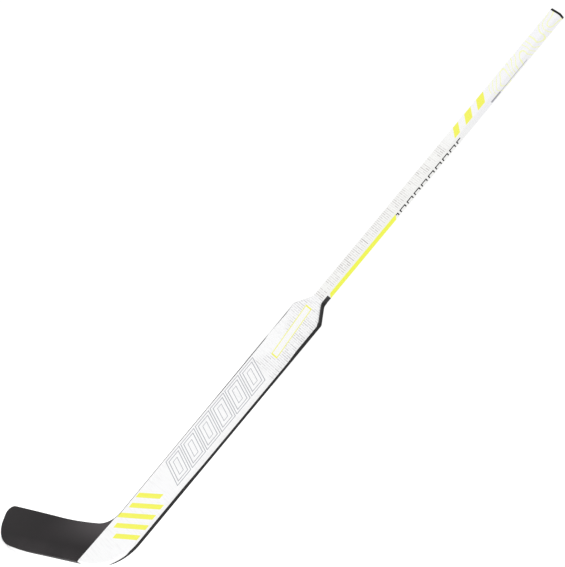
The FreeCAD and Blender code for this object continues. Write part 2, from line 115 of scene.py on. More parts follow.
# Webs and spine: flat strips of carbon laminate. The two webs stand between the paddle's skins and take the
# shaft's spigot between them; the spine runs along the blade and its tenon is glued into the heel.
TOW, TOW_GAP, TOW_RISE = 2.0, 0.12, 0.1  # mm, a tow's width in the cloth, its gap to the next, its height

# Carbon fibre in epoxy, cured under pressure: near black, with the twill's diagonal ribs in its gloss
carbon, tree, shader, place = new_material("carbon_twill_cured")
axes = add_node(tree, "SeparateXYZ", {}, {0: place}).outputs
lean = add_node(tree, "Math", {"operation": "ADD"}, {0: axes["Y"], 1: axes["Z"]}).outputs[0]
cloth = add_node(tree, "CombineXYZ", {}, {0: lean, 1: axes["Z"]}).outputs[0]
twill = add_node(tree, "TexBrick", {
    "Color1": linear("#1B1B1D"), "Color2": linear("#2A2A2D"), "Mortar": linear("#101011"), "Scale": 1.0,
    "Mortar Size": TOW_GAP, "Brick Width": 2 * TOW, "Row Height": TOW, "offset": 0.5}, {"Vector": cloth})
resin = add_node(tree, "MapRange", {"To Min": 0.3, "To Max": 0.55}, {"Value": twill.outputs["Fac"]})
ribs = add_node(tree, "Bump", {"Strength": 0.3, "Distance": TOW_RISE * MM}, {"Height": twill.outputs["Fac"]})
surface(tree, shader, twill.outputs["Color"], resin.outputs[0], ribs.outputs[0])
shader.inputs["IOR"].default_value = 1.55
dress(carbon, "toe_side_web", "heel_side_web", "blade_spine")

# Heel block: the dense core where paddle and blade meet, with the mortise for the spine's tenon. It is
# cast from epoxy filled with glass bubbles, because the heel takes the hardest knocks.
BUBBLE, GRIT, FILLER_CLOUD = 1.5, 0.2, 14.0  # mm; real glass bubbles are dust-fine, drawn coarser to show


def together(tree, *shares):
    """Product of shares from 0 to 1, so that something shows only where all of them let it."""
    product = shares[0]
    for share in shares[1:]:
        product = add_node(tree, "Math", {"operation": "MULTIPLY"}, {0: product, 1: share}).outputs[0]
    return product


# Syntactic epoxy, cast: dull tan with paler specks
filler, tree, shader, place = new_material("syntactic_epoxy_cast")
specks = add_node(tree, "TexVoronoi", {"Scale": 1 / BUBBLE}, {"Vector": place}).outputs["Distance"]
clouds = add_node(
    tree, "TexNoise", {"Scale": 1 / FILLER_CLOUD, "Detail": 4.0}, {"Vector": place}).outputs["Fac"]
tan = {"data_type": "RGBA", 6: linear("#C9BD9F"), 7: linear("#A4967A")}
tint = add_node(tree, "Mix", tan, {0: together(tree, specks, clouds)}).outputs[2]
chalk = add_node(tree, "MapRange", {"To Min": 0.6, "To Max": 0.8}, {"Value": clouds}).outputs[0]
gritty = add_node(tree, "Bump", {"Strength": 0.2, "Distance": GRIT * MM}, {"Height": specks}).outputs[0]
surface(tree, shader, tint, chalk, gritty)
dress(filler, "heel_block")

# Blade skins: one laminate sheet on the back and one on the front, moulded to the blade's curve and bonded
# to the cores. Both are painted matt charcoal; they are flat at the heel and sweep to the front at the toe.
FACE_Y = 9.25                            # mm, half the thickness at the paddle
EDGE_WALL, SKIN_WALL = 3.2, 1.3          # laminate round the edge and on the two broad faces
PADDLE_HALF, SHAFT_SIDE = 40.75, 14.25   # half the widths of paddle and shaft
NECK_DROP, SHOULDER_DROP, HEEL_DROP = 8.0, 41.0, 674.5  # corners below the end of the shaft
LIE = 116.3                              # degrees between shaft and sole
ROCKER_RUN, ROCKER_LENGTH, ROCKER_ANGLE = 255.4, 88.0, 7.0  # the sole rises to the toe past its rocker
BLADE_HEIGHT, TOE_LEAN, TOP_TAPER = 81.8, 4.0, 3.0
BROW_SETBACK, BROW_ANGLE = 78.5, 7.1     # the top turns up here, and again at the throat
NECK_BEND, SHOULDER_BEND, HEEL_BEND, THROAT_BEND = 14.0, 8.0, 116.3, 58.5
ROCKER_BEND, BROW_BEND, TOE_LOW_BEND, TOE_TOP_BEND = 550.0, 700.0, 55.4, 20.4
JOINT_X = -PADDLE_HALF - 2.0             # the plane where the blade's pieces meet the paddle's
BEND_X = -PADDLE_HALF - 6.0              # where the faces begin to curve
BLEND_LENGTH, BLEND_DROP = 50.0, 1.2     # run over which the front comes in to the blade, and how far
TOE_OFFSET, TOE_HALF, TOE_MARGIN = 20.0, 4.8, 12.0  # place and half thickness of the sweep past the toe
EDGE_STEPS, BLADE_ROWS, BLADE_COLUMNS = 20001, 150, 15  # points of an edge's table, and of a skin's grid
SHARP_ANGLE = 32.0                       # degrees; faces that meet at more than this keep a crisp edge


def toward(angle):
    """Unit step at an angle in degrees from +X, as complex x + iz."""
    return cmath.exp(1j * math.radians(angle))


NECK = SHAFT_SIDE - 1j * NECK_DROP
SHOULDER = PADDLE_HALF - 1j * SHOULDER_DROP
HEEL = PADDLE_HALF - 1j * HEEL_DROP
ROCKER = HEEL + ROCKER_RUN * toward(LIE + 90)
TOE_LOW = ROCKER + ROCKER_LENGTH * toward(LIE + 90 - ROCKER_ANGLE)
TOE_TOP = TOE_LOW + BLADE_HEIGHT * toward(LIE + TOE_LEAN)
top_way = toward(LIE - 90 - TOP_TAPER)
brow_way = toward(LIE - 90 - TOP_TAPER + BROW_ANGLE)
BROW = TOE_TOP - top_way * (PADDLE_HALF + BROW_SETBACK + TOE_TOP.real) / top_way.real
THROAT = BROW + brow_way * BROW_SETBACK / brow_way.real


def bent_edge(corners, radii, inward):
    """An edge of the outline as a table by its length. The heading is constant on each straight and turns
    evenly on each bend; the place is the sum of small steps along the heading. It ends with its last bend.
    inward is 1 where the material lies to the left of the way along it, and -1 to the right."""
    legs = np.diff(corners)
    heading = np.unwrap(np.angle(legs))
    turn = np.abs(np.diff(heading))
    reach = np.array(radii) * np.tan(turn / 2)
    straight = np.abs(legs)
    straight[:-1] -= reach
    straight[1:] -= reach
    knots = np.concatenate([[0], np.cumsum(np.stack([straight[:-1], radii * turn], 1).ravel())])
    along = np.linspace(0, knots[-1], EDGE_STEPS)
    step = np.exp(1j * np.interp(along, knots, np.repeat(heading, 2)[:-1]))
    moves = (step[1:] + step[:-1]) / 2 * np.diff(along)
    place = corners[0] + np.concatenate([[0], np.cumsum(moves)])
    return {"along": along, "place": place, "across": 1j * inward * step, "knots": knots}


def edge_points(edge, along, inset):
    """Points at lengths along an edge, moved inwards across it by inset, as complex x + iz."""
    place = np.interp(along, edge["along"], edge["place"])
    return place + inset * np.interp(along, edge["along"], edge["across"])


def joint_length(edge, inset):
    """Length along an edge at which it crosses the blade joint, for each inset."""
    moved = (edge["place"][:, None] + edge["across"][:, None] * inset).real
    past = np.argmax(moved < JOINT_X, axis=0)
    after = np.take_along_axis(moved, past[None], 0)[0]
    before = np.take_along_axis(moved, past[None] - 1, 0)[0]
    share = (before - JOINT_X) / (before - after)
    return edge["along"][past - 1] + share * (edge["along"][past] - edge["along"][past - 1])


def sweep_y(x, start, heading, end):
    """Height at x of the circle that leaves start along heading and goes through end, as complex x + iy."""
    chord = end - start
    across = 1j * heading
    radius = abs(chord) ** 2 / (2 * (chord * across.conjugate()).real)
    centre = start + across * radius
    return centre.imag + math.copysign(1, radius) * np.sqrt(radius ** 2 - (x - centre.real) ** 2)


def back_y(x):
    """Back of the blade: flat, then one circle that leaves the flat without a corner."""
    end = TOE_TOP.real - TOE_MARGIN + 1j * (TOE_OFFSET - TOE_HALF)
    return sweep_y(np.minimum(x, BEND_X), BEND_X - 1j * FACE_Y, -1 + 0j, end)


def front_y(x):
    """Front of the blade: flat, a circle in towards the back, then a circle out to the toe."""
    start = BEND_X + 1j * FACE_Y
    turning = start - BLEND_LENGTH - 1j * BLEND_DROP
    heading = -1 * cmath.exp(2j * math.atan2(BLEND_DROP, BLEND_LENGTH))
    end = TOE_TOP.real - TOE_MARGIN + 1j * (TOE_OFFSET + TOE_HALF)
    closing = sweep_y(np.clip(x, turning.real, BEND_X), start, -1 + 0j, turning)
    hollow = sweep_y(np.minimum(x, turning.real), turning, heading, end)
    return np.where(x > turning.real, closing, hollow)


def walled(outside, inside):
    """Profile of a wall, along its outer face and back along its inner one, in every row of the grid."""
    return np.concatenate([outside, inside[:, ::-1]], 1)


def closed_loop(grid):
    """A closed profile carried along a path: grid[row, column] are its points, the columns run round the
    profile, and one flat face closes each end. The order is turned where the faces would point inwards."""
    rows, columns = grid.shape[:2]
    number = np.arange(rows * columns).reshape(rows, columns)
    ring = np.roll(number, -1, axis=1)
    quads = np.stack([number[:-1], ring[:-1], ring[1:], number[1:]], -1).reshape(-1, 4)
    points = grid.reshape(-1, 3)
    middle = points - points.mean(0)
    a, b, c, d = (middle[quads[:, i]] for i in range(4))
    caps = [number[0, ::-1].tolist(), number[-1].tolist()]
    if np.einsum("ij,ij->", np.cross(c - a, d - b), (a + b + c + d) / 4) < 0:
        quads = quads[:, ::-1]
        caps = [cap[::-1] for cap in caps]
    return points, quads.tolist() + caps


def add_piece(name, points, faces, material, rim=None):
    """Mesh object from points in millimetres; rim is each point's distance from the outline."""
    mesh = bpy.data.meshes.new(name)
    mesh.from_pydata((points * MM).tolist(), [], faces)
    mesh.shade_smooth()
    mesh.set_sharp_from_angle(angle=math.radians(SHARP_ANGLE))
    if rim is not None:
        values = mesh.attributes.new("rim_mm", "FLOAT", "POINT").data
        values.foreach_set("value", rim.astype(np.float32).ravel())
    mesh.materials.append(material)
    piece = bpy.data.objects.new(name, mesh)
    bpy.context.scene.collection.objects.link(piece)
    return piece


def stand_for(piece, node):
    """Let a piece ride on the part's one body and stand for a CAD node, which is hidden."""
    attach(piece, "root")
    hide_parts(node)


def mirrored(corner):
    """The corner on the toe side that answers one on the heel side: x turns its sign."""
    return -corner.conjugate()


toe_edge = bent_edge(
    [mirrored(NECK).real, mirrored(NECK), mirrored(SHOULDER), THROAT, BROW, TOE_TOP, TOE_LOW],
    [NECK_BEND, SHOULDER_BEND, THROAT_BEND, BROW_BEND, TOE_TOP_BEND], 1)
heel_edge = bent_edge(
    [NECK.real, NECK, SHOULDER, HEEL, ROCKER, TOE_LOW, TOE_TOP],
    [NECK_BEND, SHOULDER_BEND, HEEL_BEND, ROCKER_BEND, TOE_LOW_BEND], -1)
blade_share = np.linspace(0, 1, BLADE_ROWS)[:, None]


def blade_run(edge, inset):
    """Points of one long edge of the blade, from the joint to the toe, a column for each inset."""
    start = joint_length(edge, inset)
    return edge_points(edge, start + blade_share * (edge["knots"][-1] - start), inset)


def lay_over(tree, ground, colour, *spans, share=None):
    """Lay one colour over the ground. A span is a coordinate, the middle of its range and half the range.
    The colour lies where all spans hold, as thickly as the share says, or fully without one."""
    shares = [add_node(tree, "Math", {"operation": "COMPARE", 1: middle, 2: half}, {0: coordinate}).outputs[0]
              for coordinate, middle, half in spans]
    if share is not None:
        shares.append(share)
    return add_node(tree, "Mix", {"data_type": "RGBA", 7: linear(colour)},
                    {0: together(tree, *shares), 6: ground}).outputs[2]


def leaning(tree, along, across, slope):
    """Coordinate that is constant on slanted lines: along plus slope times across."""
    return add_node(tree, "Math", {"operation": "MULTIPLY_ADD", 1: slope}, {0: across, 2: along}).outputs[0]


# Carbon laminate, painted matt charcoal: a soft, warm near-black with a faint grain and no clear reflection
charcoal, tree, shader, place = new_material("matt_charcoal_laminate")
GRAIN, TOOTH, PAINT_CLOUD = 1.2, 0.1, 60.0  # mm; the paint's flatting agent is finer, drawn coarser to show
x, y, z = add_node(tree, "SeparateXYZ", {}, {0: place}).outputs
grain = add_node(tree, "TexNoise", {"Scale": 1 / GRAIN, "Detail": 3.0}, {"Vector": place}).outputs["Fac"]
clouds = add_node(
    tree, "TexNoise", {"Scale": 1 / PAINT_CLOUD, "Detail": 2.0}, {"Vector": place}).outputs["Fac"]
speckle = add_node(tree, "Math", {"operation": "MULTIPLY_ADD", 1: 0.3}, {0: grain, 2: clouds}).outputs[0]
tint = add_node(tree, "MapRange", {"From Min": 0.4, "From Max": 0.9}, {"Value": speckle}).outputs[0]
near_black = {"data_type": "RGBA", 6: linear("#161214"), 7: linear("#1E1A1C")}
paint = add_node(tree, "Mix", near_black, {0: tint}).outputs[2]
# Painted sheen: the charcoal is painted greyer towards the throat and the top of the blade, standing in for
# light caught there; it is also painted lighter grey towards the sole
THROAT_RUN = 150.0                # mm from the joint over which the painted sheen of the throat dies away
TOP_START, TOP_FULL = 20.0, 95.0  # mm above the sole where that painted sheen begins, and where it is full
SOLE_GREY_RUN = 30.0                  # mm above the sole over which the paint turns lighter grey
up_blade = (toward(LIE).real, 0.0, toward(LIE).imag)
height = add_node(tree, "VectorMath", {"operation": "DOT_PRODUCT", 1: up_blade}, {0: place}).outputs["Value"]
sole_level = (HEEL * toward(-LIE)).real
near_throat = add_node(tree, "MapRange", {
    "interpolation_type": "SMOOTHSTEP", "From Min": JOINT_X - THROAT_RUN, "From Max": JOINT_X}, {"Value": x})
near_top = add_node(tree, "MapRange", {
    "interpolation_type": "SMOOTHSTEP",
    "From Min": sole_level + TOP_START, "From Max": sole_level + TOP_FULL}, {"Value": height})
near_sole = add_node(tree, "MapRange", {
    "From Min": sole_level + SOLE_GREY_RUN, "From Max": sole_level, "To Max": 0.4}, {"Value": height})
# Painted sheen towards the throat and top, added to a lighter grey towards the sole
throat_sheen = together(tree, near_throat.outputs[0], near_top.outputs[0])
greyed = together(tree, near_sole.outputs[0], tint)
sheen_and_sole_grey = add_node(tree, "Math", {"operation": "ADD", "use_clamp": True}, {0: throat_sheen, 1: greyed}).outputs[0]
paint = lay_over(tree, paint, "#4A4648", share=sheen_and_sole_grey)
# The white lacquer of the heel laps over the joint a little at the sole
WHITE = "#F0F0F0"
SEAM_SLOPE, SEAM_MIDDLE = -0.033, -664.5  # the seam leans across the joint, which it meets at this height
SEAM = JOINT_X + SEAM_SLOPE * SEAM_MIDDLE
LAP_REACH = 30.0  # mm, more than a lap of paint reaches to either side of the line where it begins
paint = lay_over(tree, paint, WHITE, (leaning(tree, x, z, SEAM_SLOPE), SEAM + LAP_REACH, LAP_REACH))
sheen = add_node(tree, "MapRange", {"To Min": 0.5, "To Max": 0.62}, {"Value": clouds}).outputs[0]
tooth = add_node(tree, "Bump", {"Strength": 0.15, "Distance": TOOTH * MM}, {"Height": grain}).outputs[0]
surface(tree, shader, paint, sheen, tooth, specular=0.22)

across = np.linspace(0, 1, BLADE_COLUMNS)
wall = np.array([EDGE_WALL])
skin_plan = blade_run(toe_edge, wall) * (1 - across) + blade_run(heel_edge, wall) * across
for name, slot, face, inner in (
    ("blade_back_skin", "blade_back_laminate", back_y, SKIN_WALL),
    ("blade_front_skin", "blade_front_laminate", front_y, -SKIN_WALL),
):
    outside = np.stack([skin_plan.real, face(skin_plan.real), skin_plan.imag], -1)
    inside = outside + np.array([0, inner, 0])
    piece = add_piece(name + "_moulded", *closed_loop(walled(outside, inside)), charcoal)
    stand_for(piece, name)

# Blade edge wrap: the laminate rim that closes the blade along its top, round the toe and along the sole.
# It is cured in one with the skins and rounded over, so nothing catches the ice or the puck.
JOINT_ROUND, BLADE_ROUND = 3.0, 2.2  # mm, edge rounding at the joint and on the rest of the blade
ROUND_OUT = 0.12                     # share of the blade's length over which one becomes the other
ROUND_STEPS, RIM_STEPS = 8, 5        # points of each rounding, and of the rim from one to the other

# The profile runs from the back skin's edge round the rim to the front skin's edge
turn = np.linspace(0, np.pi / 2, ROUND_STEPS)
side_steps = np.linspace(0, 1, RIM_STEPS)[1:-1]
is_round = np.concatenate([[False], turn >= 0, side_steps < 0, turn >= 0, [False]])
wrap_inset = np.concatenate([
    [EDGE_WALL], 1 - np.cos(turn[::-1]), 0 * side_steps, 1 - np.cos(turn), [EDGE_WALL]])
wrap_depth = np.concatenate([[0], 1 - np.sin(turn[::-1]), 1 + 0 * side_steps, 1 - np.sin(turn), [0]])
to_front = np.concatenate([[0], turn * 0, side_steps, turn * 0 + 1, [1]])
hidden_level = np.array([0.75, 0.5, 0.25])  # the way back, along the wall's inner face


def wrap_side(edge):
    """Rim along one long edge: a rounded profile whose inset and depth scale with the rounding's radius."""
    radius = BLADE_ROUND + (JOINT_ROUND - BLADE_ROUND) * np.clip(1 - blade_share / ROUND_OUT, 0, 1) ** 2
    start = joint_length(edge, np.where(is_round, wrap_inset * JOINT_ROUND, wrap_inset))
    along = start + blade_share * (edge["knots"][-1] - start)
    plan = edge_points(edge, along, np.where(is_round, wrap_inset * radius, wrap_inset))
    back = back_y(plan.real) + wrap_depth * radius
    front = front_y(plan.real) - wrap_depth * radius
    rim = np.stack([plan.real, back * (1 - to_front) + front * to_front, plan.imag], -1)
    core = blade_run(edge, wall) * np.ones(len(hidden_level))
    hidden = back_y(core.real) * (1 - hidden_level) + front_y(core.real) * hidden_level
    return np.concatenate([rim, np.stack([core.real, hidden, core.imag], -1)], 1)


wrap_grid = np.concatenate([wrap_side(toe_edge), wrap_side(heel_edge)[::-1]], 0)
piece = add_piece("blade_edge_wrap_rounded", *closed_loop(wrap_grid), charcoal)
stand_for(piece, "blade_edge_wrap")

# Paddle shells: the two half shells of paddle and heel, laid up in one with their lips and lacquered white.
# The print under the clear coat is grey dashes, outlined slanted blocks, and yellow lines and bars.
EDGE_ROUND = 3.0                   # mm, rounding of the shells' edges
BAND_BACK, BAND_FRONT = -2.0, 6.0  # mm, where the black band begins and ends across the edge
FACE_START = EDGE_ROUND + 0.6      # the flat of the face is taken to begin a little inside the rounding
FACE_RIM = 40.0                    # mm, distance from the outline that every point of the flat is given
SHOULDER_RUN = 60.0                # mm of edge that the neck and the shoulder take up
SHOULDER_ROWS, SIDE_ROWS, HEEL_ROWS, FACE_COLUMNS, LIP_STEPS = 46, 40, 90, 9, 10
PEEL, PEEL_DEPTH = 3.5, 0.2        # mm between the waves of the orange peel, and their depth
SCUFF, LACQUER_CLOUD = 9.0, 90.0   # mm, size of a scuff and of the slow changes in white and gloss
DASH_PITCH, DASH_GAP = 4.4, 1.3    # mm, rows of dashes, here and on the shaft

# Inks of the print, and the grey of scuffed lacquer
BRIGHT_WHITE, INK_GREY, DASH_GREY, STREAK_GREY = "#F3F3F4", "#A9ABB1", "#A3A2A4", "#CFCED1"
YELLOW, PALE_YELLOW, BLACK, CHARCOAL = "#ECEC56", "#F0F3BA", "#141315", "#2A2628"
SCUFF_GREY = "#C4C2BF"


def dash_rows(tree, x, z, length, faint):
    """Rows of dashes, each row staggered against the next: 0 between them, and from faint to 1 on them."""
    flat = add_node(tree, "CombineXYZ", {}, {0: x, 1: z}).outputs[0]
    return add_node(tree, "TexBrick", {
        "Color1": linear("#FFFFFF"), "Color2": linear(faint), "Mortar": linear("#000000"), "Scale": 1.0,
        "Mortar Size": DASH_GAP, "Mortar Smooth": 0.0, "Brick Width": length, "Row Height": DASH_PITCH},
        {"Vector": flat}).outputs["Color"]


def past_line(tree, value, height, line):
    """How far a value lies past a line that bends with height; line holds pairs of height and value."""
    heights, values = np.array(line).T
    low, high = values.min(), values.max()
    span = add_node(tree, "MapRange", {"From Min": heights[0], "From Max": heights[-1]}, {"Value": height})
    ramp = add_node(tree, "ValToRGB", {}, {"Fac": span.outputs[0]})
    stops = ramp.color_ramp.elements
    for where in (heights[1:-1] - heights[0]) / (heights[-1] - heights[0]):
        stops.new(where)
    for stop, level in zip(stops, (values - low) / (high - low)):
        stop.color = (level, level, level, 1.0)
    limit = add_node(tree, "MapRange", {"To Min": low, "To Max": high}, {"Value": ramp.outputs["Color"]})
    return add_node(tree, "Math", {"operation": "SUBTRACT"}, {0: value, 1: limit.outputs[0]}).outputs[0]


def clear_coat(tree, shader, place, colour, at_edge):
    """Finish of the lacquer over its print: scuffed to a dull grey in places near the edges, rippled by a
    faint orange peel, with a gloss that changes slowly and is lost where it is scuffed."""
    scuffs = add_node(tree, "TexNoise", {"Scale": 1 / SCUFF, "Detail": 5.0, "Roughness": 0.7},
                      {"Vector": place})
    scuffed = add_node(tree, "MapRange", {"From Min": 0.6, "From Max": 0.7, "To Max": 0.4},
                       {"Value": scuffs.outputs["Fac"]})
    wear = together(tree, scuffed.outputs[0], at_edge)
    peel = add_node(tree, "TexNoise", {"Scale": 1 / PEEL, "Detail": 1.0}, {"Vector": place}).outputs["Fac"]
    ripple = add_node(tree, "Bump", {"Strength": 0.04, "Distance": PEEL_DEPTH * MM}, {"Height": peel})
    clouds = add_node(tree, "TexNoise", {"Scale": 1 / LACQUER_CLOUD, "Detail": 2.0}, {"Vector": place})
    gloss = add_node(tree, "MapRange", {"To Min": 0.2, "To Max": 0.3}, {"Value": clouds.outputs["Fac"]})
    dulled = add_node(tree, "Math", {"operation": "ADD"}, {0: gloss.outputs[0], 1: wear})
    colour = lay_over(tree, colour, SCUFF_GREY, share=wear)
    surface(tree, shader, colour, dulled.outputs[0], ripple.outputs[0], specular=0.4)


# Polyester lacquer over laminate, sprayed and clear-coated: glossy white with a faint orange peel
paddle_paint, tree, shader, place = new_material("white_lacquer_paddle_print")
x, y, z = add_node(tree, "SeparateXYZ", {}, {0: place}).outputs
clouds = add_node(tree, "TexNoise", {"Scale": 1 / LACQUER_CLOUD, "Detail": 2.0}, {"Vector": place})
whites = {"data_type": "RGBA", 6: linear(WHITE), 7: linear(BRIGHT_WHITE)}
colour = add_node(tree, "Mix", whites, {0: clouds.outputs["Fac"]}).outputs[2]
# Faint brush streaks across the paddle, where the white was flatted by hand under its clear coat
STREAK_LENGTH, STREAK_WIDTH = 26.0, 2.2  # mm; the real ones are finer, drawn coarser so that they show
streak_scale = (1 / STREAK_LENGTH, 1 / STREAK_LENGTH, 1 / STREAK_WIDTH)
brushed = add_node(tree, "VectorMath", {"operation": "MULTIPLY", 1: streak_scale}, {0: place}).outputs[0]
strokes = add_node(tree, "TexNoise", {"Scale": 1.0, "Detail": 2.0, "Distortion": 0.5}, {"Vector": brushed})
streaks = add_node(tree, "MapRange", {"From Min": 0.52, "From Max": 0.75, "To Max": 0.28},
                   {"Value": strokes.outputs["Fac"]})
colour = lay_over(tree, colour, STREAK_GREY, share=streaks.outputs[0])
# Dashes: rows of short grey lines below the neck; they give way to a clear field that points to the heel side
DASH_LENGTH = 21.0                    # mm
DASH_END, DASH_FULL = -192.0, -176.0  # heights where the dashes end, and where they are full
FIELD_Z, FIELD_X, FIELD_SLOPE = -125.0, 15.0, 0.75  # tip of the clear field and the slope of its two sides
FIELD_FADE = 14.0                     # mm, half the run over which the dashes fade into the field
offset = add_node(tree, "Math", {"operation": "ADD", 1: -FIELD_Z}, {0: z})
away = add_node(tree, "Math", {"operation": "ABSOLUTE"}, {0: offset.outputs[0]})
clear = add_node(tree, "MapRange", {
    "interpolation_type": "SMOOTHSTEP", "From Min": FIELD_X - FIELD_FADE, "From Max": FIELD_X + FIELD_FADE},
    {"Value": leaning(tree, x, away.outputs[0], FIELD_SLOPE)})
fade = add_node(tree, "MapRange", {
    "interpolation_type": "SMOOTHSTEP", "From Min": DASH_END, "From Max": DASH_FULL, "To Max": 0.62},
    {"Value": z})
dashes = dash_rows(tree, x, z, DASH_LENGTH, "#8C8C8C")
colour = lay_over(tree, colour, DASH_GREY, share=together(tree, clear.outputs[0], fade.outputs[0], dashes))
# A slender slanted frame in yellow below the neck, clear inside
FRAME_X, FRAME_Z, FRAME_SLOPE = -5.0, -88.0, 0.1  # its middle, and how far it leans
upright = leaning(tree, x, z, FRAME_SLOPE)
for ink, half_width, half_length in ((YELLOW, 9.5, 60.0), (WHITE, 7.6, 57.0)):
    colour = lay_over(tree, colour, ink, (upright, FRAME_X, half_width), (z, FRAME_Z, half_length))
# Blocks: a row of slanted blocks along the paddle, each a thin grey outline with two more inside it
BLOCK_PITCH, BLOCK_HALF, BLOCK_SLOPE = 46.0, 34.0, 0.27  # mm
BLOCKS_Z, BLOCKS_HALF = -322.0, 3 * BLOCK_PITCH          # middle of the row and half its length
OUTLINES = ((1.6, 3.4), (7.6, 9.4), (16.4, 17.8))        # mm from a block's edge to both sides of each line
block_lean = leaning(tree, z, x, BLOCK_SLOPE)
shift = add_node(tree, "Math", {"operation": "ADD", 1: BLOCK_HALF}, {0: x}).outputs[0]
flat = add_node(tree, "CombineXYZ", {}, {0: block_lean, 1: shift}).outputs[0]
for gaps in OUTLINES:
    near, far = (add_node(tree, "TexBrick", {
        "Scale": 1.0, "Mortar Size": gap, "Mortar Smooth": 0.0, "offset": 0.0, "Brick Width": BLOCK_PITCH,
        "Row Height": 2 * BLOCK_HALF}, {"Vector": flat}).outputs["Fac"] for gap in gaps)
    outline = add_node(tree, "Math", {"operation": "SUBTRACT"}, {0: far, 1: near}).outputs[0]
    colour = lay_over(tree, colour, INK_GREY, (block_lean, BLOCKS_Z, BLOCKS_HALF), (x, 0.0, BLOCK_HALF),
                      share=outline)
# Bars: five slanted yellow bars above the heel, set in and out like steps
BAR_SLOPE, BAR_HALF = -0.62, 6.0
BARS = (  # mm: height, middle across the paddle, half length
    (-515.0, -8.0, 26.0), (-541.0, 3.0, 34.0), (-567.0, 0.0, 38.0), (-593.0, 6.0, 34.0), (-619.0, 14.0, 26.0))
bar_lean = leaning(tree, z, x, BAR_SLOPE)
for height, middle, half_length in BARS:
    colour = lay_over(tree, colour, YELLOW, (bar_lean, height, BAR_HALF), (x, middle, half_length))
# Black edges: at the heel side the bands' paint laps over the shells. Where it begins across the edge changes
# down the stick: it takes in the shoulder, draws back along the paddle and runs out under the heel.
BLACK_LINE = (
    (-690.0, 9.0), (-681.0, 7.2), (-671.0, 3.6), (-660.0, 2.0), (-638.0, 1.2), (-626.0, -2.0), (-460.0, -2.4),
    (-400.0, -0.8), (-140.0, -0.6), (-110.0, -3.0), (-48.0, -3.0), (-44.0, -6.5), (8.0, -6.5))
EDGE_LAP = 2.4                # mm of rounding under the lap
SIDE_MIDDLE = LAP_REACH + 6   # mm; a side of the paddle is taken to begin 6 mm from its middle line
rim = add_node(tree, "Attribute", {"attribute_name": "rim_mm"}).outputs["Fac"]
on_heel_side, on_toe_side = (x, SIDE_MIDDLE, LAP_REACH), (x, -SIDE_MIDDLE, LAP_REACH)
past_black = (past_line(tree, y, z, BLACK_LINE), LAP_REACH, LAP_REACH)
colour = lay_over(tree, colour, BLACK, (rim, 0.0, EDGE_LAP), past_black, on_heel_side)
# At the toe side a fine black line follows the back's rounding and thins out downwards, as far as the throat
FINE_LINE = (
    (-610.0, 3.1), (-460.0, 3.1), (-290.0, 3.35), (-265.0, 4.5), (-140.0, 4.5), (-120.0, 1.8),
    (-70.0, 3.7), (-45.0, 1.8), (0.0, 0.8))
FINE_Z, FINE_HALF = -306.0, 306.0
on_back = (y, -LAP_REACH, LAP_REACH)
inside_fine = (past_line(tree, rim, z, FINE_LINE), -LAP_REACH, LAP_REACH)
colour = lay_over(tree, colour, BLACK, inside_fine, (z, FINE_Z, FINE_HALF), on_back, on_toe_side)
# The blade's charcoal laps over the joint at the throat and runs out to a point up its edge
LAP_Z, LAP_HALF = -670.0, 66.0               # heights of the lap, middle and half
TIP_RIM, TIP_Z, TIP_HALF = 2.6, -604.0, 9.0  # mm of rounding that the point takes in, and its heights
past_seam = (leaning(tree, x, z, SEAM_SLOPE), SEAM - LAP_REACH, LAP_REACH)
colour = lay_over(tree, colour, CHARCOAL, past_seam, (z, LAP_Z, LAP_HALF))
colour = lay_over(tree, colour, CHARCOAL, (rim, 0.0, TIP_RIM), (z, TIP_Z, TIP_HALF), on_back, on_toe_side)
WEAR_START, WEAR_FULL = 2.6, 0.8             # mm from the outline where the scuffs begin, and are full
at_edge = add_node(tree, "MapRange", {"From Min": WEAR_START, "From Max": WEAR_FULL}, {"Value": rim})
clear_coat(tree, shader, place, colour, at_edge.outputs[0])

throat_start = toe_edge["knots"][5]  # where the third bend of that edge begins
upper_rows = np.concatenate([np.linspace(0, SHOULDER_RUN, SHOULDER_ROWS),
                             np.linspace(SHOULDER_RUN, throat_start, SIDE_ROWS)[1:]])[:, None]
heel_share = np.linspace(0, 1, HEEL_ROWS)[1:, None]


def paddle_run(edge, inset):
    """Points of one long edge of the paddle, from the neck to the blade joint, a column for each inset."""
    lower = throat_start + heel_share * (joint_length(edge, inset) - throat_start)
    return edge_points(edge, np.concatenate([upper_rows * np.ones(len(inset)), lower]), inset)


turn = np.linspace(0, np.pi / 2, LIP_STEPS)
lip_inset = np.concatenate([[0], EDGE_ROUND * (1 - np.cos(turn)), [FACE_START]])
lip_count = len(lip_inset)
face_share = np.linspace(0, 1, FACE_COLUMNS)[1:-1]
flat_face = np.ones(len(face_share))
for name, slot, facing, lip_y in (
    ("paddle_back_shell", "paddle_back_paint", -1, BAND_BACK),
    ("paddle_front_shell", "paddle_front_paint", 1, BAND_FRONT),
):
    rounding = facing * (FACE_Y - EDGE_ROUND * (1 - np.sin(turn)))
    lip_level = np.concatenate([[lip_y], rounding, [facing * FACE_Y]])
    inner_level = np.linspace(lip_y, facing * (FACE_Y - SKIN_WALL), lip_count)
    loops = []
    for inset, level in ((lip_inset, lip_level), (np.full(lip_count, EDGE_WALL), inner_level)):
        toe_side = paddle_run(toe_edge, inset)
        heel_side = paddle_run(heel_edge, inset)[:, ::-1]
        face = toe_side[:, -1:] * (1 - face_share) + heel_side[:, :1] * face_share
        plan = np.concatenate([toe_side, face, heel_side], 1)
        depth = np.concatenate([level, level[-1] * flat_face, level[::-1]])
        from_rim = np.concatenate([inset, FACE_RIM * flat_face, inset[::-1]])
        loops.append(np.stack([plan.real, depth + 0 * plan.real, plan.imag, from_rim + 0 * plan.real], -1))
    grid = walled(*loops)
    piece = add_piece(name + "_lacquered", *closed_loop(grid[..., :3]), paddle_paint, grid[..., 3])
    stand_for(piece, name)

